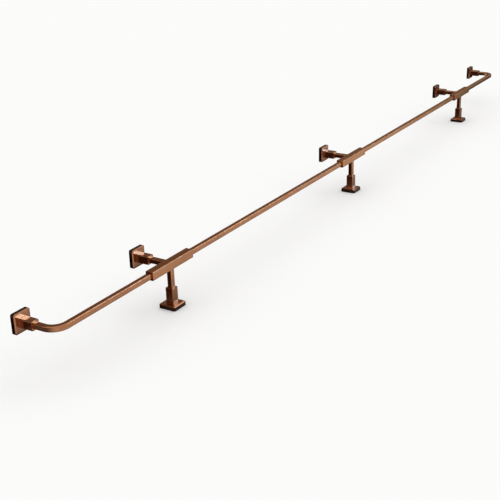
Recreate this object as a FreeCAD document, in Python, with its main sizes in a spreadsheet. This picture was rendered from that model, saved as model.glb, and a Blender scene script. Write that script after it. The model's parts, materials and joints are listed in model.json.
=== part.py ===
import FreeCAD, Part
import math
import os
from types import SimpleNamespace

import Sketcher

# Bar foot rail. A square tube runs along the foot of a bar on three brackets, and both of its
# ends bend back to the bar front. Each bracket is a sleeve round the rail, a post down to the
# floor and an arm back to the bar front. Posts, arms and rail ends each fit over the spigot of
# a fixing plate, and a hollow square flange slides along the tube to cover that plate.
#
# Frame: the origin is on the floor, under the rail's axis, at the middle bracket.
# +X runs along the rail, +Y points at the bar front and +Z points up. Millimetres.

DRIVING_SIZES = (
    ("bracket_spacing", 1500, "middle bracket to each outer bracket"),
    ("end_bay", 608, "outer bracket to the axis of the rail end that returns to the bar"),
    ("rail_height", 170, "floor to the rail's axis"),
    ("bar_reach", 159, "rail's axis to the bar front"),
    ("tube_side", 21, "outside of every square tube"),
    ("tube_wall", 2, "wall of every square tube"),
    ("tube_corner", 3.5, "outside corner radius of every square tube"),
    ("bend_radius", 51, "axis radius of the bend at each end of the rail"),
    ("rail_joint_gap", 2, "space between two rail tubes inside a sleeve"),
    ("sleeve_side", 33, "outside of a sleeve"),
    ("sleeve_corner", 2.5, "outside corner radius of a sleeve"),
    ("sleeve_length", 247, "sleeve from end to end"),
    ("slide_clearance", 0.15, "between a tube and the bore that slides on it"),
    ("bore_corner", 2.5, "corner radius of a bore that slides on a tube"),
    ("spigot_clearance", 0.1, "between a tube and the piece inside it"),
    ("spigot_corner", 1.6, "corner radius of a piece inside a tube"),
    ("joiner_overrun", 5, "joiner inside the rail tubes, past the sleeve's further set screws"),
    ("plug_length", 22, "threaded plug in the top of a post or arm"),
    ("flange_side", 73, "outside of a flange at its rim"),
    ("flange_corner", 7, "corner radius of a flange's rim"),
    ("rim_depth", 14.5, "straight rim of a flange"),
    ("bevel_width", 5, "bevel between the rim and the face of a flange, across"),
    ("bevel_rise", 2.5, "bevel between the rim and the face of a flange, along the tube"),
    ("socket_side", 33, "outside of a flange's socket"),
    ("socket_corner", 3, "corner radius of a flange's socket"),
    ("wall_socket_end", 70.5, "bar front to the mouth of a wall flange"),
    ("floor_socket_end", 78, "floor to the mouth of a floor flange"),
    ("rim_wall", 2.5, "wall of a flange at its rim"),
    ("hollow_depth", 13.5, "depth of the wide hollow under a flange"),
    ("core_side", 28, "hollow inside a socket, from the wide hollow to the guide"),
    ("guide_length", 16, "part of a socket that slides on the tube"),
    ("plate_side", 66, "fixing plate"),
    ("plate_corner", 4, "corner radius of a fixing plate"),
    ("wall_plate_thickness", 4, "fixing plate on the bar front"),
    ("floor_plate_thickness", 6, "fixing plate on the floor"),
    ("fixing_spacing", 42, "between the screw holes of a fixing plate"),
    ("fixing_hole", 5.5, "screw hole of a fixing plate"),
    ("fixing_countersink", 10.5, "countersink of that hole"),
    ("spigot_length", 30, "spigot above its fixing plate"),
    ("tube_end_gap", 6, "between a fixing plate and the end of its tube"),
    ("lock_height", 22, "bar front or floor to the screw that locks a tube to its spigot"),
    ("set_screw_inset", 8, "mouth of a flange to its set screw"),
    ("near_screw", 35, "middle of a sleeve to its nearer set screws"),
    ("far_screw", 95, "middle of a sleeve to its further set screws"),
    ("thread_clearance", 0.05, "between a screw and its hole"),
    ("joining_screw", 6, "screw that holds a post or arm to its sleeve"),
    ("joining_head", 12, "countersunk head of that screw"),
    ("joining_grip", 14, "length of that screw inside the plug"),
    ("joining_key", 4, "hexagon key of that screw"),
    ("sleeve_screw", 6, "set screw in a sleeve"),
    ("flange_screw", 5, "set screw in a flange"),
    ("screw_recess", 0.3, "set screw below the face around it"),
    ("set_key", 2.5, "hexagon key of a set screw"),
    ("lock_screw", 5, "screw that locks a tube to its spigot"),
    ("lock_head", 9.5, "head of that screw"),
    ("lock_head_height", 2.7, "head of that screw"),
    ("lock_length", 9, "that screw below its head"),
    ("key_depth", 2, "hexagon socket in every screw"),
)

doc = FreeCAD.newDocument("bar_foot_rail")
sheet = doc.addObject("Spreadsheet::Sheet", "sizes")
for row, (alias, value, meaning) in enumerate(DRIVING_SIZES, start=1):
    sheet.set(f"A{row}", meaning)
    sheet.set(f"B{row}", str(value))
    sheet.setAlias(f"B{row}", alias)
doc.recompute()


class Size:
    """A length with the sheet expression that it comes from, so that both follow arithmetic."""

    def __init__(self, value, text):
        self.value = value
        self.text = text

    def combine(self, other, sign, result):
        other_text = other.text if isinstance(other, Size) else str(other)
        return Size(result, f"({self.text} {sign} {other_text})")

    def __add__(self, other):
        return self.combine(other, "+", self.value + number(other))

    def __sub__(self, other):
        return self.combine(other, "-", self.value - number(other))

    def __mul__(self, other):
        return self.combine(other, "*", self.value * number(other))

    def __truediv__(self, other):
        return self.combine(other, "/", self.value / number(other))

    def __neg__(self):
        return self * -1


def number(size):
    """The plain number of a Size or of a number."""
    return size.value if isinstance(size, Size) else size


size = SimpleNamespace(**{
    alias: Size(float(sheet.get(alias)), f"sizes.{alias}") for alias, value, meaning in DRIVING_SIZES
})

# Sizes that follow from the driving ones.
tube_half = size.tube_side / 2
tube_bore_half = tube_half - size.tube_wall
slide_half = tube_half + size.slide_clearance
spigot_half = tube_bore_half - size.spigot_clearance
sleeve_half = size.sleeve_side / 2
flange_half = size.flange_side / 2
socket_half = size.socket_side / 2
rail_end = size.bracket_spacing + size.end_bay
wall_tube_start = size.wall_plate_thickness + size.tube_end_gap
floor_tube_start = size.floor_plate_thickness + size.tube_end_gap
arm_end = size.bar_reach - sleeve_half
post_end = size.rail_height - sleeve_half


# Sketches.

def new_sketch(body, name, plane, offset=None):
    """Sketch on one of the body's own origin planes, moved along that plane's normal."""
    sketch = body.newObject("Sketcher::SketchObject", name)
    support = next(feature for feature in body.Origin.OriginFeatures if feature.Role == plane)
    sketch.AttachmentSupport = (support, [""])
    sketch.MapMode = "FlatFace"
    if offset is not None:
        sketch.setExpression("AttachmentOffset.Base.z", offset.text)
    return sketch


def dimension(sketch, kind, references, length):
    """One dimension, bound to the sheet when its length comes from there."""
    index = sketch.addConstraint(Sketcher.Constraint(kind, *references, number(length)))
    if isinstance(length, Size):
        sketch.setExpression(f"Constraints[{index}]", length.text)


def locate(sketch, edge, end, across, up):
    """Places one end of an edge, or a circle's centre, from the sketch's origin."""
    for kind, axis, length in (("DistanceX", -2, across), ("DistanceY", -1, up)):
        if isinstance(length, Size):
            dimension(sketch, kind, (-1, 1, edge, end), length)
        else:
            sketch.addConstraint(Sketcher.Constraint("PointOnObject", edge, end, axis))


def arc_between(start, end, radius):
    """Arc from start to end and the index of its first end; a radius below zero turns right."""
    chord = end - start
    left = FreeCAD.Vector(-chord.y, chord.x, 0) / chord.Length
    rise = math.sqrt(max(radius ** 2 - (chord.Length / 2) ** 2, 0))
    centre = (start + end) / 2 + left * math.copysign(rise, radius)
    circle = Part.Circle(centre, FreeCAD.Vector(0, 0, 1), abs(radius))
    turns_left = radius > 0
    first, last = (start, end) if turns_left else (end, start)
    arc = Part.ArcOfCircle(circle, circle.parameter(first), circle.parameter(last))
    return arc, 1 if turns_left else 2


def draw_outline(sketch, corners, closed=True):
    """Outline through corners of (across, up), or of (across, up, radius) before an arc."""
    points = [FreeCAD.Vector(number(corner[0]), number(corner[1]), 0) for corner in corners]
    edges = []
    for index in range(len(corners) if closed else len(corners) - 1):
        start, end = points[index], points[(index + 1) % len(points)]
        if len(corners[index]) == 2:
            edges.append((sketch.addGeometry(Part.LineSegment(start, end), False), 1))
        else:
            radius = corners[index][2]
            arc, first = arc_between(start, end, number(radius))
            edges.append((sketch.addGeometry(arc, False), first))
            length = radius if number(radius) > 0 else -radius
            dimension(sketch, "Radius", (edges[-1][0],), length)
    for index, (edge, first) in enumerate(edges):
        locate(sketch, edge, first, *corners[index][:2])
    for (edge, first), (following, joint) in zip(edges, edges[1:] + edges[:1] * closed):
        sketch.addConstraint(Sketcher.Constraint("Coincident", edge, 3 - first, following, joint))
    if not closed:
        locate(sketch, edges[-1][0], 3 - edges[-1][1], *corners[-1][:2])


def draw_square(sketch, half, radius):
    """Centred square with round corners."""
    flat = half - radius
    draw_outline(sketch, (
        (-flat, -half), (flat, -half, radius),
        (half, -flat), (half, flat, radius),
        (flat, half), (-flat, half, radius),
        (-half, flat), (-half, -flat, radius),
    ))


def draw_circle(sketch, diameter, across=0, up=0):
    """Circle of that diameter round the place given."""
    centre = FreeCAD.Vector(number(across), number(up), 0)
    circle = Part.Circle(centre, FreeCAD.Vector(0, 0, 1), number(diameter) / 2)
    edge = sketch.addGeometry(circle, False)
    dimension(sketch, "Diameter", (edge,), diameter)
    locate(sketch, edge, 3, across, up)


def draw_hexagon(sketch, across_flats, across=0):
    """Hexagon of a key socket round a place on the sketch's first axis."""
    side = across_flats * (1 / math.sqrt(3))
    flat = across_flats / 2
    place = across if isinstance(across, Size) else size.key_depth * 0
    draw_outline(sketch, (
        (place + side, 0), (place + side / 2, flat), (place - side / 2, flat),
        (place - side, 0), (place - side / 2, -flat), (place + side / 2, -flat),
    ))


# Features.

def new_body(label):
    """Empty body; its label is the name of the piece."""
    body = doc.addObject("PartDesign::Body", label)
    body.Label = label
    body.AllowCompound = True
    return body


def extrude(body, kind, sketch, length, both_ways=False, reverse=False):
    """Pad or Pocket of a sketch."""
    feature = body.newObject(f"PartDesign::{kind}", f"{sketch.Label}_{kind.lower()}")
    feature.Profile = sketch
    feature.SideType = "Symmetric" if both_ways else "One side"
    feature.Reversed = reverse
    feature.setExpression("Length", length.text)
    return feature


def turn(body, kind, sketch):
    """Revolution or Groove of a sketch, all the way round the sketch's upright axis."""
    feature = body.newObject(f"PartDesign::{kind}", f"{sketch.Label}_{kind.lower()}")
    feature.Profile = sketch
    feature.ReferenceAxis = (sketch, ["V_Axis"])
    feature.Angle = 360
    return feature


def bore_towards_back(body, name, diameter, height, depth):
    """Round hole from the body's axis out through its -Y side."""
    sketch = new_sketch(body, name, "XZ_Plane")
    draw_circle(sketch, diameter, 0, height)
    extrude(body, "Pocket", sketch, depth, reverse=True)


def place(piece, across, back, height, rotation=FreeCAD.Rotation()):
    """Puts a piece at its place in the frame; each coordinate is a Size or 0."""
    piece.Placement = FreeCAD.Placement(FreeCAD.Vector(0, 0, 0), rotation)
    for axis, coordinate in (("x", across), ("y", back), ("z", height)):
        if isinstance(coordinate, Size):
            piece.setExpression(f"Placement.Base.{axis}", coordinate.text)


# A foot is what stands on the bar front or on the floor: fixing plate, tube, flange and their
# screws. Its pieces are drawn with the floor or bar front at z = 0 and the tube along +Z.

FACING_WALL = FreeCAD.Rotation(FreeCAD.Vector(1, 0, 0), 90)
STANDING = FreeCAD.Rotation(FreeCAD.Vector(0, 0, 1), 180)


def place_on_wall(piece, across):
    place(piece, across, size.bar_reach, size.rail_height, FACING_WALL)


def place_on_floor(piece, across):
    place(piece, across, 0, 0, STANDING)


def fixing_plate(label, thickness):
    """Square plate with four countersunk holes and a spigot for the tube."""
    body = new_body(label)
    outline = new_sketch(body, "plate", "XY_Plane")
    draw_square(outline, size.plate_side / 2, size.plate_corner)
    extrude(body, "Pad", outline, thickness)
    spigot = new_sketch(body, "spigot", "XY_Plane")
    draw_square(spigot, spigot_half, size.spigot_corner)
    extrude(body, "Pad", spigot, thickness + size.spigot_length)
    offset = size.fixing_spacing / 2
    holes = new_sketch(body, "holes", "XY_Plane", thickness)
    for across in (-offset, offset):
        for up in (-offset, offset):
            draw_circle(holes, size.fixing_hole, across, up)
    doc.recompute()
    drilled = body.newObject("PartDesign::Hole", "screw_holes")
    drilled.Profile = holes
    drilled.DepthType = "ThroughAll"
    drilled.HoleCutType = "Countersink"
    drilled.HoleCutCustomValues = True
    drilled.HoleCutCountersinkAngle = 90
    drilled.setExpression("Diameter", size.fixing_hole.text)
    drilled.setExpression("HoleCutDiameter", size.fixing_countersink.text)
    thread = size.lock_screw + size.thread_clearance * 2
    bore_towards_back(body, "lock_thread", thread, size.lock_height, size.tube_side)
    return body


def flange(label, socket_end):
    """Hollow square cover: a thick rim, a bevel, a flat face and a socket that slides on the tube."""
    body = new_body(label)
    rim = new_sketch(body, "rim", "XY_Plane")
    draw_square(rim, flange_half, size.flange_corner)
    extrude(body, "Pad", rim, size.rim_depth)
    bevel_foot = new_sketch(body, "bevel_foot", "XY_Plane", size.rim_depth)
    draw_square(bevel_foot, flange_half, size.flange_corner)
    bevel_top = new_sketch(body, "bevel_top", "XY_Plane", size.rim_depth + size.bevel_rise)
    draw_square(bevel_top, flange_half - size.bevel_width, size.flange_corner - size.bevel_width)
    bevel = body.newObject("PartDesign::AdditiveLoft", "bevel")
    bevel.Profile = bevel_foot
    bevel.Sections = [bevel_top]
    bevel.Ruled = True
    socket = new_sketch(body, "socket", "XY_Plane")
    draw_square(socket, socket_half, size.socket_corner)
    extrude(body, "Pad", socket, socket_end)

    hollow = new_sketch(body, "hollow", "XY_Plane")
    draw_square(hollow, flange_half - size.rim_wall, size.flange_corner - size.rim_wall)
    extrude(body, "Pocket", hollow, size.hollow_depth, reverse=True)
    core = new_sketch(body, "core", "XY_Plane")
    draw_square(core, size.core_side / 2, size.bore_corner)
    extrude(body, "Pocket", core, socket_end - size.guide_length, reverse=True)
    bore = new_sketch(body, "bore", "XY_Plane")
    draw_square(bore, slide_half, size.bore_corner)
    extrude(body, "Pocket", bore, socket_end, reverse=True)

    thread = size.flange_screw + size.thread_clearance * 2
    bore_towards_back(body, "set_screw_hole", thread, socket_end - size.set_screw_inset, size.socket_side)
    return body


def straight_tube(label, start, end):
    """Square tube along +Z with the hole for its lock screw."""
    body = new_body(label)
    section = new_sketch(body, "section", "XY_Plane", start)
    draw_square(section, tube_half, size.tube_corner)
    draw_square(section, tube_bore_half, size.tube_corner - size.tube_wall)
    extrude(body, "Pad", section, end - start)
    hole = size.lock_screw + size.thread_clearance * 4
    bore_towards_back(body, "lock_hole", hole, size.lock_height, size.tube_side)
    return body


def end_plug(label, end):
    """Threaded block in the far end of a post or arm."""
    body = new_body(label)
    section = new_sketch(body, "section", "XY_Plane", end - size.plug_length)
    draw_square(section, spigot_half, size.spigot_corner)
    draw_circle(section, size.joining_screw + size.thread_clearance * 2)
    extrude(body, "Pad", section, size.plug_length)
    return body


def joining_screw(label):
    """Countersunk screw with its head's top at z = 0 and its shank along -Z."""
    body = new_body(label)
    head, shank = size.joining_head / 2, size.joining_screw / 2
    length = sleeve_half - slide_half + size.joining_grip
    profile = new_sketch(body, "profile", "XZ_Plane")
    draw_outline(profile, ((0, -length), (shank, -length), (shank, shank - head), (head, 0), (0, 0)))
    turn(body, "Revolution", profile)
    key = new_sketch(body, "key", "XY_Plane")
    draw_hexagon(key, size.joining_key)
    extrude(body, "Pocket", key, size.key_depth)
    return body


def set_screws(label, diameter, length, places=(0,)):
    """Row of headless screws along X, each with its tip at z = 0 and its key socket below."""
    body = new_body(label)
    tips = new_sketch(body, "tips", "XY_Plane")
    for across in places:
        draw_circle(tips, diameter, across)
    extrude(body, "Pad", tips, length, reverse=True)
    keys = new_sketch(body, "keys", "XY_Plane", -length)
    for across in places:
        draw_hexagon(keys, size.set_key, across)
    extrude(body, "Pocket", keys, size.key_depth, reverse=True)
    return body


def lock_screws(label, places):
    """Row of round-headed screws along X, each with its shank up to z = 0."""
    body = new_body(label)
    shanks = new_sketch(body, "shanks", "XY_Plane")
    heads = new_sketch(body, "heads", "XY_Plane", -size.lock_length)
    keys = new_sketch(body, "keys", "XY_Plane", -(size.lock_length + size.lock_head_height))
    for across in places:
        draw_circle(shanks, size.lock_screw, across)
        draw_circle(heads, size.lock_head, across)
        draw_hexagon(keys, size.set_key, across)
    extrude(body, "Pad", shanks, size.lock_length, reverse=True)
    extrude(body, "Pad", heads, size.lock_head_height, reverse=True)
    extrude(body, "Pocket", keys, size.key_depth, reverse=True)
    return body


def sleeve(label):
    """Square sleeve on the rail, drilled for its post, its arm and four set screws."""
    body = new_body(label)
    section = new_sketch(body, "section", "YZ_Plane")
    draw_square(section, sleeve_half, size.sleeve_corner)
    draw_square(section, slide_half, size.bore_corner)
    extrude(body, "Pad", section, size.sleeve_length, both_ways=True)
    head = size.joining_head / 2 + size.thread_clearance
    shank = size.joining_screw / 2 + size.thread_clearance
    cone = head - shank
    for name, plane, side in (("arm_hole", "XY_Plane", 1), ("post_hole", "XZ_Plane", -1)):
        profile = new_sketch(body, name, plane)
        draw_outline(profile, (
            (0, slide_half * side), (head, slide_half * side), (shank, (slide_half + cone) * side),
            (shank, size.sleeve_side * side), (0, size.sleeve_side * side),
        ))
        turn(body, "Groove", profile)
    holes = new_sketch(body, "set_screw_holes", "XY_Plane")
    for across in SLEEVE_SCREWS:
        draw_circle(holes, size.sleeve_screw + size.thread_clearance * 2, across)
    extrude(body, "Pocket", holes, size.sleeve_side)
    return body


def middle_rail_tube(label, side):
    """Straight rail tube between the middle sleeve and an outer one."""
    body = new_body(label)
    half_gap = size.rail_joint_gap / 2
    section = new_sketch(body, "section", "YZ_Plane", half_gap * side)
    draw_square(section, tube_half, size.tube_corner)
    draw_square(section, tube_bore_half, size.tube_corner - size.tube_wall)
    extrude(body, "Pad", section, size.bracket_spacing - size.rail_joint_gap, reverse=side < 0)
    return body


def end_rail_tube(label, side):
    """Rail tube from an outer sleeve, round the bend and back to the bar front."""
    body = new_body(label)
    start = size.bracket_spacing + size.rail_joint_gap / 2
    route = new_sketch(body, "route", "XY_Plane")
    draw_outline(route, (
        (start * side, 0), ((rail_end - size.bend_radius) * side, 0, size.bend_radius * side),
        (rail_end * side, size.bend_radius), (rail_end * side, size.bar_reach - wall_tube_start),
    ), closed=False)
    section = new_sketch(body, "section", "YZ_Plane", start * side)
    draw_square(section, tube_half, size.tube_corner)
    bore = new_sketch(body, "bore", "YZ_Plane", start * side)
    draw_square(bore, tube_bore_half, size.tube_corner - size.tube_wall)
    for kind, profile in (("AdditivePipe", section), ("SubtractivePipe", bore)):
        pipe = body.newObject(f"PartDesign::{kind}", f"{profile.Label}_pipe")
        pipe.Profile = profile
        pipe.Spine = (route, ["Edge1", "Edge2", "Edge3"])
    hole = new_sketch(body, "lock_hole", "XY_Plane")
    diameter = size.lock_screw + size.thread_clearance * 4
    draw_circle(hole, diameter, rail_end * side, size.bar_reach - size.lock_height)
    extrude(body, "Pocket", hole, size.tube_side)
    return body


def rail_joiner(label):
    """Square bar inside the ends of two rail tubes."""
    body = new_body(label)
    section = new_sketch(body, "section", "YZ_Plane")
    draw_square(section, spigot_half, size.spigot_corner)
    extrude(body, "Pad", section, (size.far_screw + size.joiner_overrun) * 2, both_ways=True)
    return body


# The pieces, bracket by bracket.

SLEEVE_SCREWS = (-size.far_screw, -size.near_screw, size.near_screw, size.far_screw)
BRACKETS = (("left", -size.bracket_spacing), ("middle", 0), ("right", size.bracket_spacing))
WALL_FEET = (("left_end", -rail_end), *BRACKETS, ("right_end", rail_end))

for name, across in BRACKETS:
    place(sleeve(f"sleeve_{name}"), across, 0, size.rail_height)
    place(rail_joiner(f"rail_joiner_{name}"), across, 0, size.rail_height)
    length = sleeve_half - tube_half - size.screw_recess
    screws = set_screws(f"sleeve_set_screws_{name}", size.sleeve_screw, length, SLEEVE_SCREWS)
    place(screws, across, 0, size.rail_height - tube_half)

    place_on_wall(straight_tube(f"arm_{name}", wall_tube_start, arm_end), across)
    place_on_wall(end_plug(f"arm_plug_{name}", arm_end), across)
    place(joining_screw(f"arm_screw_{name}"), across, slide_half, size.rail_height, FACING_WALL)

    place_on_floor(straight_tube(f"post_{name}", floor_tube_start, post_end), across)
    place_on_floor(end_plug(f"post_plug_{name}", post_end), across)
    place(joining_screw(f"post_screw_{name}"), across, 0, size.rail_height - slide_half)

    place_on_floor(fixing_plate(f"floor_plate_{name}", size.floor_plate_thickness), across)
    place_on_floor(flange(f"floor_flange_{name}", size.floor_socket_end), across)

for name, side in (("left", -1), ("right", 1)):
    place(middle_rail_tube(f"rail_tube_{name}_middle", side), 0, 0, size.rail_height)
    place(end_rail_tube(f"rail_tube_{name}_end", side), 0, 0, size.rail_height)

for name, across in WALL_FEET:
    place_on_wall(fixing_plate(f"wall_plate_{name}", size.wall_plate_thickness), across)
    place_on_wall(flange(f"wall_flange_{name}", size.wall_socket_end), across)

# Each flange has one set screw, out of sight: below a wall flange and behind a floor flange.
flange_screw_length = socket_half - slide_half - size.screw_recess
for name, across in WALL_FEET:
    screw = set_screws(f"wall_flange_screw_{name}", size.flange_screw, flange_screw_length)
    back = size.bar_reach - size.wall_socket_end + size.set_screw_inset
    place(screw, across, back, size.rail_height - slide_half)
for name, across in BRACKETS:
    screw = set_screws(f"floor_flange_screw_{name}", size.flange_screw, flange_screw_length)
    height = size.floor_socket_end - size.set_screw_inset
    place(screw, across, slide_half, height, FACING_WALL)

# The screws that lock the tubes to their spigots are all alike.
wall_places = [across if isinstance(across, Size) else 0 for name, across in WALL_FEET]
floor_places = [across if isinstance(across, Size) else 0 for name, across in BRACKETS]
reach = tube_half - size.lock_length
place(lock_screws("wall_lock_screws", wall_places), 0, size.bar_reach - size.lock_height,
      size.rail_height - reach)
place(lock_screws("floor_lock_screws", floor_places), 0, reach, size.lock_height, FACING_WALL)

doc.recompute()

# Every object has to be sound, and every cut has to take something away.
for thing in doc.Objects:
    if "Invalid" in thing.State or "Error" in thing.State:
        raise RuntimeError(f"{thing.Label} failed")
    cuts = ("PartDesign::Pocket", "PartDesign::Groove", "PartDesign::Hole",
            "PartDesign::SubtractivePipe")
    if thing.TypeId in cuts and thing.Shape.Volume > thing.BaseFeature.Shape.Volume - 0.1:
        raise RuntimeError(f"{thing.Label} cuts nothing")

pieces = [thing for thing in doc.Objects if thing.TypeId == "PartDesign::Body"]
for piece in pieces:
    if piece.Shape.isNull() or not piece.Shape.isValid():
        raise RuntimeError(f"{piece.Label} has no sound shape")

os.makedirs("parts", exist_ok=True)
for piece in pieces:
    piece.Shape.exportStep(f"parts/{piece.Label}.step")
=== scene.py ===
import json
import math

import bpy
from mathutils import Matrix, Vector


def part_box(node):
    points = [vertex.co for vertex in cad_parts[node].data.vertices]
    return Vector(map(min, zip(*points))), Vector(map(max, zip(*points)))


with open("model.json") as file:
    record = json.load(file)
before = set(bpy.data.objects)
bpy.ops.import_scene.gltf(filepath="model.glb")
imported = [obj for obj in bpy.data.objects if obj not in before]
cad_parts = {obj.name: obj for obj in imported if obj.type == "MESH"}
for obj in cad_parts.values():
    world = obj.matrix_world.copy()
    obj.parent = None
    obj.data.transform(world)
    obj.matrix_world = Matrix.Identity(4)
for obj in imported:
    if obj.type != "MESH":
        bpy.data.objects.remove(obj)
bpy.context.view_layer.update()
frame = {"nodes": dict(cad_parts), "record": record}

# Bar foot rail in aged copper. The solids come from the frame as they are; this script gives them
# their edges and finishes, and sets the studio. Metres, with the frame's own axes: +X along the
# rail, +Y towards the bar front, +Z up.

MM = 0.001
nodes = frame["nodes"]
slots = {row["node"]: row["material_slot"] for row in frame["record"]["subparts"]}


# Places and sizes on the rail that its finishes need.

wall = max(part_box(node)[1].y for node in nodes if node.startswith("wall_plate"))
rail_axis = sum(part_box("sleeve_middle"), Vector()) / 2
BEND_RADIUS = 51 * MM
RIM_DEPTH = 14.5 * MM

# Copper: a patina between two tones, rubbed bright on edges and near black on the flanges' rims.
PATINA_DEEP = "#A16C4B"
PATINA_PALE = "#AE7856"
RUBBED = "#CB9676"
NEAR_BLACK_RIM = "#3E2619"
HAND_WIDTH = 70 * MM
SPECK_SIZE = 4 * MM
EDGE_ROUNDING = 0.7 * MM
EDGE_DULLNESS = 0.25

# Real drawing lines are about 0.1 mm apart, and the casting's ripples finer still. Both are drawn
# as coarse as they need to be to show.
LINE_SPACING = 1.5 * MM
LINE_LENGTH = 300 * MM
LINE_DEPTH = 0.0012 * MM
RIPPLE_WIDTH = 3 * MM
RIPPLE_LENGTH = 9 * MM
RIPPLE_DEPTH = 0.0006 * MM


# Materials.

def linear(colour):
    """Linear RGBA of an sRGB hex colour."""
    parts = [int(colour[start:start + 2], 16) / 255 for start in (1, 3, 5)]
    lights = [part / 12.92 if part <= 0.04045 else ((part + 0.055) / 1.055) ** 2.4 for part in parts]
    return (*lights, 1)


def add(tree, kind, settings=None, inputs=None):
    """Adds a node, with its settings, and with its inputs as values or as links from other nodes."""
    node = tree.nodes.new("ShaderNode" + kind)
    for name, value in (settings or {}).items():
        setattr(node, name, value)
    for socket, source in (inputs or {}).items():
        if isinstance(source, bpy.types.NodeSocket):
            tree.links.new(source, node.inputs[socket])
        else:
            node.inputs[socket].default_value = source
    return node


def new_metal(name, roughness):
    """Material with a metallic shader, its node tree and that shader."""
    material = bpy.data.materials.new(name)
    material.use_nodes = True
    shader = material.node_tree.nodes["Principled BSDF"]
    shader.inputs["Metallic"].default_value = 1
    shader.inputs["Roughness"].default_value = roughness
    return material, material.node_tree, shader


def along_axis(tree, axis, spacing, length):
    """Coordinates in which lines run along one axis of the frame, that far apart and that long."""
    place = add(tree, "TexCoord").outputs["Object"]
    stretch = [1 / spacing] * 3
    stretch["xyz".index(axis)] = 1 / length
    return add(tree, "VectorMath", {"operation": "MULTIPLY"}, {0: place, 1: stretch}).outputs[0]


def round_bend(tree, side, spacing, length):
    """The same coordinates for a rail end, in which the lines follow its bend to the bar front."""
    place = add(tree, "SeparateXYZ", None, {0: add(tree, "TexCoord").outputs["Object"]}).outputs
    middle = sum(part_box(f"wall_flange_{side}_end"), Vector()) / 2
    outwards = math.copysign(1, middle.x)
    centre = middle.x - outwards * BEND_RADIUS
    across = add(tree, "Math", {"operation": "MULTIPLY_ADD"}, {
        0: place["X"], 1: outwards, 2: -centre * outwards,
    })
    forwards = add(tree, "Math", {"operation": "SUBTRACT"}, {0: rail_axis.y + BEND_RADIUS, 1: place["Y"]})
    past_bend = add(tree, "Math", {"operation": "MAXIMUM"}, {0: across.outputs[0], 1: 0})
    before_bend = add(tree, "Math", {"operation": "MAXIMUM"}, {0: forwards.outputs[0], 1: 0})
    corner = add(tree, "CombineXYZ", None, {"X": past_bend.outputs[0], "Y": before_bend.outputs[0]})
    radius = add(tree, "VectorMath", {"operation": "LENGTH"}, {0: corner.outputs[0]})
    along = add(tree, "Math", {"operation": "ADD"}, {0: place["X"], 1: place["Y"]})
    lanes = add(tree, "CombineXYZ", None, {
        "X": along.outputs[0], "Y": radius.outputs["Value"], "Z": place["Z"],
    })
    stretch = (1 / length, 1 / spacing, 1 / spacing)
    return add(tree, "VectorMath", {"operation": "MULTIPLY"}, {0: lanes.outputs[0], 1: stretch}).outputs[0]


def edge_mask(tree, width):
    """0 on flat metal and 1 on an edge, with the normal that rounds that edge."""
    rounded = add(tree, "Bevel", {"samples": 6}, {"Radius": width}).outputs["Normal"]
    flat = add(tree, "NewGeometry").outputs["Normal"]
    match = add(tree, "VectorMath", {"operation": "DOT_PRODUCT"}, {0: rounded, 1: flat}).outputs["Value"]
    mask = add(tree, "MapRange", None, {"Value": match, "From Min": 0.995, "From Max": 0.85})
    return mask.outputs[0], rounded


def aged_copper(name, lines, line_depth, roughness, glance, rim=None):
    """Brown copper with lighter, rubbed edges; glance tints what it mirrors at a low angle, and rim is 1
    where the metal is coloured near black."""
    material, tree, shader = new_metal(name, roughness)
    place = add(tree, "TexCoord").outputs["Object"]

    # The patina was rubbed back by hand, so its tone drifts over a hand's width.
    cloud = add(tree, "TexNoise", None, {"Vector": place, "Scale": 1 / HAND_WIDTH, "Detail": 3})
    tone = add(tree, "MapRange", None, {"Value": cloud.outputs["Fac"], "From Min": 0.35, "From Max": 0.65})
    colour = add(tree, "Mix", {"data_type": "RGBA"}, {
        0: tone.outputs[0], 6: linear(PATINA_DEEP), 7: linear(PATINA_PALE),
    }).outputs[2]

    # Lines or ripples are a little darker in their depths.
    line = add(tree, "TexNoise", None, {"Vector": lines(tree), "Scale": 1, "Detail": 2}).outputs["Fac"]
    depth = add(tree, "MapRange", None, {"Value": line, "From Min": 0.3, "From Max": 0.7, "To Min": 0.88})
    colour = add(tree, "Mix", {"data_type": "RGBA", "blend_type": "MULTIPLY"}, {
        0: 1.0, 6: colour, 7: depth.outputs[0],
    }).outputs[2]

    # Edges lose their patina first.
    edge, rounded = edge_mask(tree, EDGE_ROUNDING)
    speck = add(tree, "TexNoise", None, {"Vector": place, "Scale": 1 / SPECK_SIZE, "Detail": 4})
    worn = add(tree, "MapRange", None, {"Value": speck.outputs["Fac"], "From Min": 0.3, "From Max": 0.6})
    rubbed = add(tree, "Math", {"operation": "MULTIPLY"}, {0: edge, 1: worn.outputs[0]})
    colour = add(tree, "Mix", {"data_type": "RGBA"}, {
        0: rubbed.outputs[0], 6: colour, 7: linear(RUBBED),
    }).outputs[2]
    # The rim, up to RIM_DEPTH from the wall or floor, is coloured near black.
    if rim:
        colour = add(tree, "Mix", {"data_type": "RGBA"}, {
            0: rim(tree), 6: colour, 7: linear(NEAR_BLACK_RIM),
        }).outputs[2]
    tree.links.new(colour, shader.inputs["Base Color"])

    # Hands and cloths leave slightly duller clouds in the polish, and edges are the dullest.
    dull = add(tree, "MapRange", None, {
        "Value": speck.outputs["Fac"], "From Min": 0.3, "From Max": 0.7,
        "To Min": roughness - 0.02, "To Max": roughness + 0.04,
    })
    duller = add(tree, "Math", {"operation": "MULTIPLY_ADD"}, {
        0: edge, 1: EDGE_DULLNESS, 2: dull.outputs[0],
    })
    tree.links.new(duller.outputs[0], shader.inputs["Roughness"])
    bump = add(tree, "Bump", None, {
        "Height": line, "Distance": line_depth, "Strength": 1.0, "Normal": rounded,
    })
    tree.links.new(bump.outputs[0], shader.inputs["Normal"])
    shader.inputs["Specular Tint"].default_value = linear(glance)

    # Clear lacquer keeps the copper from tarnishing further: it whitens the brightest glints.
    shader.inputs["Coat Weight"].default_value = 0.2
    shader.inputs["Coat Roughness"].default_value = 0.06
    return material


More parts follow.
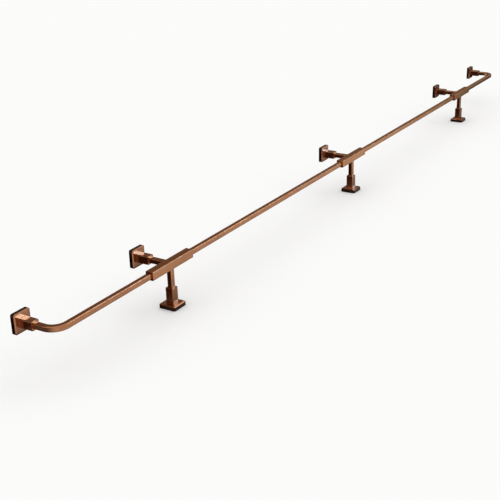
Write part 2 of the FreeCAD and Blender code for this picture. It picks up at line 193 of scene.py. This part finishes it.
def drawn_tube(name, lines):
    """Brass tube, drawn, polished and darkened to aged copper: soft lines run along each length, and its
    mirror stays warm at a low angle, as copper's does."""
    return aged_copper(name, lines, LINE_DEPTH, 0.12, "#FFEFD6")


def cast_flange(name, axis, away, foot):
    """Cast cover, polished on its face and socket and near black on its rim: the clearer mirror of
    the two, and a little paler at a low angle. away is the way it stands from foot, along axis."""
    def rim(tree):
        place = add(tree, "SeparateXYZ", None, {0: add(tree, "TexCoord").outputs["Object"]}).outputs[axis]
        depth = add(tree, "Math", {"operation": "MULTIPLY_ADD"}, {0: place, 1: away, 2: -foot * away})
        return add(tree, "MapRange", None, {
            "Value": depth.outputs[0], "From Min": RIM_DEPTH + 0.1 * MM, "From Max": RIM_DEPTH - 0.2 * MM,
        }).outputs[0]

    def ripples(tree):
        return along_axis(tree, "z", RIPPLE_WIDTH, RIPPLE_LENGTH)

    return aged_copper(name, ripples, RIPPLE_DEPTH, 0.1, "#FFFBF7", rim)


def plain_steel(name, colour, roughness, grain):
    """Steel that the flanges hide: greyer and duller than the copper, and evenly grained."""
    material, tree, shader = new_metal(name, roughness)
    place = add(tree, "TexCoord").outputs["Object"]
    noise = add(tree, "TexNoise", None, {"Vector": place, "Scale": 1 / grain, "Detail": 5})
    shade = add(tree, "MapRange", None, {"Value": noise.outputs["Fac"], "To Min": 0.7, "To Max": 1.15})
    mixed = add(tree, "Mix", {"data_type": "RGBA", "blend_type": "MULTIPLY"}, {
        0: 1.0, 6: linear(colour), 7: shade.outputs[0],
    })
    tree.links.new(mixed.outputs[2], shader.inputs["Base Color"])
    dull = add(tree, "MapRange", None, {
        "Value": noise.outputs["Fac"], "To Min": roughness - 0.08, "To Max": roughness + 0.08,
    })
    tree.links.new(dull.outputs[0], shader.inputs["Roughness"])
    bump = add(tree, "Bump", None, {"Height": noise.outputs["Fac"], "Distance": 0.02 * MM})
    tree.links.new(bump.outputs[0], shader.inputs["Normal"])
    return material


finishes = {
    "rail_tube_left_end": drawn_tube(
        "drawn_copper_left_end", lambda tree: round_bend(tree, "left", LINE_SPACING, LINE_LENGTH)),
    "rail_tube_right_end": drawn_tube(
        "drawn_copper_right_end", lambda tree: round_bend(tree, "right", LINE_SPACING, LINE_LENGTH)),
    "wall_flange": cast_flange("cast_copper_wall", "Y", -1, wall),
    "floor_flange": cast_flange("cast_copper_floor", "Z", 1, 0),
    # Zinc plating leaves a pale, cool grey with a broad, soft bloom.
    "plate_steel": plain_steel("zinc_plated_plate", "#B9BCBC", 0.38, 6 * MM),
    # Bar left as it was drawn is a darker grey, with a finer grain.
    "joining_steel": plain_steel("drawn_steel_bar", "#8A8C8E", 0.34, 3 * MM),
    # Small plated screws are the shiniest of the three, with the finest grain.
    "screw_steel": plain_steel("zinc_plated_screw", "#9C9EA0", 0.3, 1.5 * MM),
}
for piece, axis in (("rail_tube", "x"), ("sleeve", "x"), ("arm", "y"), ("post", "z")):
    finishes[piece] = drawn_tube(
        f"drawn_copper_{piece}", lambda tree: along_axis(tree, axis, LINE_SPACING, LINE_LENGTH))

for name, node in nodes.items():
    if slots[name].startswith("copper"):
        piece = max((key for key in finishes if name.startswith(key)), key=len)
    else:
        piece = slots[name]
    node.data.materials.clear()
    node.data.materials.append(finishes[piece])


# Studio: a pale floor, a white surround, one soft key, and cards that only the polish sees.

FLOOR_COLOUR = "#FDFDFC"
FLOOR_REACH = 60
SURROUND_LEVEL = 0.88
KEY_FROM = Vector((0.72, 0.1, 0.69))
KEY_LEVEL = 0.5
KEY_SPREAD = 50

# The floor card lies just above the floor. Each change in its light follows an axis from one place
# to another, and from one level to another.
CARD_REACH = 5
CARD_START = -0.32
CARD_END = 0.6
CARD_LIFT = 0.5 * MM
CARD_LIGHT = {
    "before_bar": ("Y", CARD_START, 0.13, 1, 0.06),
    "far_end": ("X", 0.9, 2.7, 1, 0.18),
    "behind_bar": ("Y", 0.42, CARD_END, 0, 0.94),
    "past_end": ("X", -2.2, -2.32, 0, 0.14),
    "before_wall": ("Y", 0.33, 0.37, 1, 0),
}
CARD_WARM = "#FFAA7C"
CARD_WARM_BELOW = (0.05, 0.25)

# Dark cards far behind the bar and past its right end darken what faces up, or away from the customers.
DARK_COLOUR = "#FFE0C6"
DARK_LEVEL = 0.27
DARK_CARD = [(-14, 8, 0.5), (30, 8, 0.5), (30, 8, 17), (-14, 8, 17)]
END_CARD = [(12, -5.3, 0.8), (12, 1.5, 0.8), (12, 1.5, 8.5), (12, -5.3, 8.5)]

# A narrow cool strip over the customers' side makes the glint that socket and face pass between them.
STRIP_COLOUR = "#86C4FF"
STRIP_CARD = [(0.2, -3, 2.0), (8, -3, 2.0), (8, -3, 2.24), (0.2, -3, 2.24)]
STRIP_FADE = {"From Min": 3.5, "From Max": 5.5, "To Min": 44, "To Max": 28}


def level_sheet(start, end, reach, height):
    """Corners of a level sheet from one place to another, reaching equally far both ways along the rail."""
    return [(-reach, start, height), (reach, start, height), (reach, end, height), (-reach, end, height)]


def new_stage(name, corners, material):
    """Flat piece of the studio through four corners."""
    mesh = bpy.data.meshes.new(name)
    mesh.from_pydata(corners, [], [(0, 1, 2, 3)])
    sheet = bpy.data.objects.new(name, mesh)
    bpy.context.scene.collection.objects.link(sheet)
    mesh.materials.append(material)
    return sheet


def new_card(name, corners, material):
    """Card that only the polish sees."""
    card = new_stage(name, corners, material)
    card.visible_camera = False
    card.visible_diffuse = False
    card.visible_shadow = False
    card.visible_transmission = False
    card.visible_volume_scatter = False


def glowing(name, shine):
    """Glowing sheet; shine makes its colour and strength in the material's node tree."""
    material = bpy.data.materials.new(name)
    material.use_nodes = True
    tree = material.node_tree
    tree.nodes.clear()
    colour, level = shine(tree)
    glow = add(tree, "Emission", None, {"Color": colour, "Strength": level})
    add(tree, "OutputMaterial", None, {"Surface": glow.outputs[0]})
    return material


def card_shine(tree):
    """White on the customers' side, dark and warm where the bar stands, white again behind it."""
    spot = add(tree, "SeparateXYZ", None, {0: add(tree, "TexCoord").outputs["Object"]}).outputs
    light = {change: add(tree, "MapRange", {"interpolation_type": "SMOOTHSTEP"}, {
        "Value": spot[axis], "From Min": start, "From Max": end, "To Min": first, "To Max": last,
    }).outputs[0] for change, (axis, start, end, first, last) in CARD_LIGHT.items()}
    corner = add(tree, "Math", {"operation": "MULTIPLY"}, {0: light["past_end"], 1: light["before_wall"]})
    beyond = add(tree, "Math", {"operation": "ADD"}, {0: light["behind_bar"], 1: corner.outputs[0]})
    level = add(tree, "Math", {"operation": "MULTIPLY_ADD"}, {
        0: light["before_bar"], 1: light["far_end"], 2: beyond.outputs[0],
    }).outputs[0]
    whiter = add(tree, "MapRange", {"interpolation_type": "SMOOTHSTEP"}, {
        "Value": level, "From Min": CARD_WARM_BELOW[0], "From Max": CARD_WARM_BELOW[1],
    })
    colour = add(tree, "Mix", {"data_type": "RGBA"}, {
        0: whiter.outputs[0], 6: linear(CARD_WARM), 7: linear("#FFFFFF"),
    })
    return colour.outputs[2], level


def strip_shine(tree):
    """Cool light, weaker towards the rail's far end."""
    spot = add(tree, "SeparateXYZ", None, {0: add(tree, "TexCoord").outputs["Object"]}).outputs
    level = add(tree, "MapRange", {"interpolation_type": "SMOOTHSTEP"}, {"Value": spot["X"], **STRIP_FADE})
    return linear(STRIP_COLOUR), level.outputs[0]


# Matt paper, off-white: it shows the rail's soft shadow and mirrors nothing.
paper = bpy.data.materials.new("pale_floor_paper")
paper.use_nodes = True
paper_shader = paper.node_tree.nodes["Principled BSDF"]
paper_shader.inputs["Roughness"].default_value = 1
paper_shader.inputs["Specular IOR Level"].default_value = 0
paper_shader.inputs["Base Color"].default_value = linear(FLOOR_COLOUR)

dark = glowing("dark_backdrop", lambda tree: (linear(DARK_COLOUR), DARK_LEVEL))
new_stage("floor", level_sheet(-FLOOR_REACH, FLOOR_REACH, FLOOR_REACH, 0), paper)
new_card("floor_card", level_sheet(CARD_START, CARD_END, CARD_REACH, CARD_LIFT),
         glowing("floor_shade", card_shine))
new_card("dark_card", DARK_CARD, dark)
new_card("end_card", END_CARD, dark)
new_card("strip_card", STRIP_CARD, glowing("cool_strip", strip_shine))

# The surround is pure white where it is seen or mirrored, and a little lower as light.
world = bpy.data.worlds.new("white_surround")
bpy.context.scene.world = world
world.use_nodes = True
world_tree = world.node_tree
path = add(world_tree, "LightPath").outputs
seen = path["Is Camera Ray"]
for ray in ("Is Glossy Ray", "Is Transmission Ray"):
    seen = add(world_tree, "Math", {"operation": "MAXIMUM"}, {0: seen, 1: path[ray]}).outputs[0]
surround = add(world_tree, "MapRange", None, {"Value": seen, "To Min": SURROUND_LEVEL, "To Max": 1})
background = world_tree.nodes["Background"]
background.inputs["Color"].default_value = (1, 1, 1, 1)
world_tree.links.new(surround.outputs[0], background.inputs["Strength"])
world.cycles.sampling_method = "NONE"

key = bpy.data.lights.new("key", "SUN")
key.energy = KEY_LEVEL
key.angle = math.radians(KEY_SPREAD)
key_lamp = bpy.data.objects.new("key", key)
key_lamp.rotation_euler = KEY_FROM.to_track_quat("Z", "Y").to_euler()
bpy.context.scene.collection.objects.link(key_lamp)


# Camera: low over the left end of the rail, looking along it. Angles are in degrees.

CAMERA_PLACE = Vector((-4.053, -1.9575, 1.5253))
CAMERA_HEADING = 57.75
CAMERA_DIP = 22.23
CAMERA_ROLL = -1.72
CAMERA_LENS = 68.66
CAMERA_SENSOR = 36

camera = bpy.data.cameras.new("camera")
camera.lens = CAMERA_LENS
camera.sensor_width = CAMERA_SENSOR
camera.clip_end = 2 * FLOOR_REACH
viewer = bpy.data.objects.new("camera", camera)
viewer.matrix_world = (
    Matrix.Translation(CAMERA_PLACE)
    @ Matrix.Rotation(-math.radians(CAMERA_HEADING), 4, "Z")
    @ Matrix.Rotation(math.radians(90 - CAMERA_DIP), 4, "X")
    @ Matrix.Rotation(math.radians(CAMERA_ROLL), 4, "Z")
)
bpy.context.scene.collection.objects.link(viewer)
bpy.context.scene.camera = viewer
bpy.context.scene.view_settings.view_transform = "Standard"
